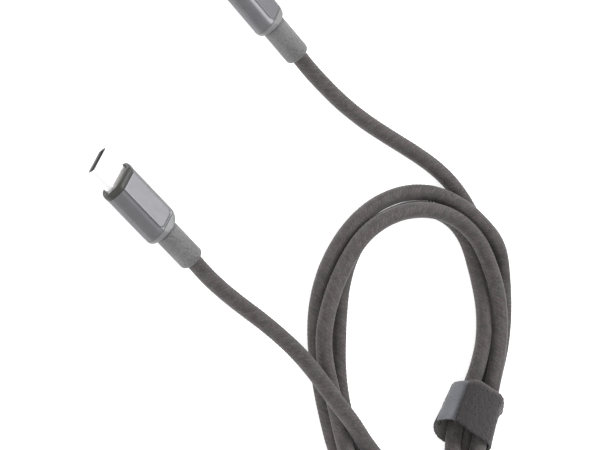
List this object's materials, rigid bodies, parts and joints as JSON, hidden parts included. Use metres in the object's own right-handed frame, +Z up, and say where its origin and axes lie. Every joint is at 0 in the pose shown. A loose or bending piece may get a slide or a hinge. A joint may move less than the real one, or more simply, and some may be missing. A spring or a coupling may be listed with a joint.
{
  "type": "usb-c charging cable",
  "caption": "Coiled braided USB-C charging cable with metal plugs, strain reliefs and a hook-and-loop tie round the coil.",
  "frame": {"origin": "on the table under the middle of the two plugs and the tie", "axes": "+Z up from the table, +X to the right of the coil's longer direction, +Y towards the far plug"},
  "size_m": [0.1264, 0.138, 0.0113],
  "materials": {
    "plug_steel": "bright formed steel",
    "black_plastic": "moulded",
    "gold_contacts": "gold plated",
    "spring_steel": "stamped",
    "board_green": "solder mask",
    "passive_ceramic": "ceramic",
    "solder": "reflowed",
    "wire_red": "extruded",
    "cord_core": "extruded jacket",
    "beige_plastic": "moulded",
    "grey_aluminium": "bead-blasted and anodised",
    "dark_rim": "dark coated edge",
    "grey_elastomer": "satin moulded elastomer",
    "braid": "braided polyester over the jacket",
    "loop_tape": "napped loop tape",
    "hook_tape": "satin woven nylon",
    "thread": "polyester thread"
  },
  "bodies": {
    "cable": {"a_shell": "plug_steel", "a_insulator": "black_plastic", "a_contacts_top": "gold_contacts", "a_contacts_bottom": "gold_contacts", "a_ground_springs": "spring_steel", "a_circuit_board": "board_green", "a_chip": "black_plastic", "a_passives": "passive_ceramic", "a_solder": "solder", "a_shield_top": "spring_steel", "a_shield_bottom": "spring_steel", "a_wires": "wire_red", "a_crimp_ring": "spring_steel", "a_cord_core": "cord_core", "a_inner_mould": "beige_plastic", "a_housing": "grey_aluminium", "a_rim": "dark_rim", "a_end_cap": "grey_aluminium", "a_strain_relief": "grey_elastomer", "b_shell": "plug_steel", "b_insulator": "black_plastic", "b_contacts_top": "gold_contacts", "b_contacts_bottom": "gold_contacts", "b_ground_springs": "spring_steel", "b_circuit_board": "board_green", "b_chip": "black_plastic", "b_passives": "passive_ceramic", "b_solder": "solder", "b_shield_top": "spring_steel", "b_shield_bottom": "spring_steel", "b_wires": "wire_red", "b_crimp_ring": "spring_steel", "b_cord_core": "cord_core", "b_inner_mould": "beige_plastic", "b_housing": "grey_aluminium", "b_rim": "dark_rim", "b_end_cap": "grey_aluminium", "b_strain_relief": "grey_elastomer", "cord_lead_a": "braid", "cord_coil": "braid", "cord_lead_b": "braid"},
    "tie": {"tie_band": "loop_tape", "tie_hook_tab": "hook_tape", "tie_stitching": "thread"},
    "tie_flap_body": {"tie_flap": "loop_tape"},
    "a_latch_left_spring": {"a_latch_left": "spring_steel"},
    "a_latch_right_spring": {"a_latch_right": "spring_steel"},
    "b_latch_left_spring": {"b_latch_left": "spring_steel"},
    "b_latch_right_spring": {"b_latch_right": "spring_steel"}
  },
  "joints": [
    {"name": "tie_slide", "type": "slide", "parent": "cable", "child": "tie", "axis": [0.3256, 0.9455, 0], "range_m": [-0.0015, 0.0015]},
    {"name": "tie_flap_peel", "type": "hinge", "parent": "tie", "child": "tie_flap_body", "pos_m": [0.05501, -0.05094, 0.0067], "axis": [0.3256, 0.9455, 0], "range_deg": [0, 80]},
    {"name": "a_latch_left_flex", "type": "hinge", "parent": "cable", "child": "a_latch_left_spring", "pos_m": [-0.0534, -0.00492, 0.00429], "axis": [0.1369, 0.1785, 0.9744], "range_deg": [0, 2], "stiffness_Nm_per_rad": 0.2},
    {"name": "a_latch_right_flex", "type": "hinge", "parent": "cable", "child": "a_latch_right_spring", "pos_m": [-0.04962, 0.00002, 0.00285], "axis": [-0.1369, -0.1785, -0.9744], "range_deg": [0, 2], "stiffness_Nm_per_rad": 0.2},
    {"name": "b_latch_left_flex", "type": "hinge", "parent": "cable", "child": "b_latch_left_spring", "pos_m": [-0.02274, 0.04598, 0.00497], "axis": [0.2289, 0.2757, 0.9336], "range_deg": [0, 2], "stiffness_Nm_per_rad": 0.2},
    {"name": "b_latch_right_flex", "type": "hinge", "parent": "cable", "child": "b_latch_right_spring", "pos_m": [-0.01894, 0.05056, 0.00268], "axis": [-0.2289, -0.2757, -0.9336], "range_deg": [0, 2], "stiffness_Nm_per_rad": 0.2}
  ]
}
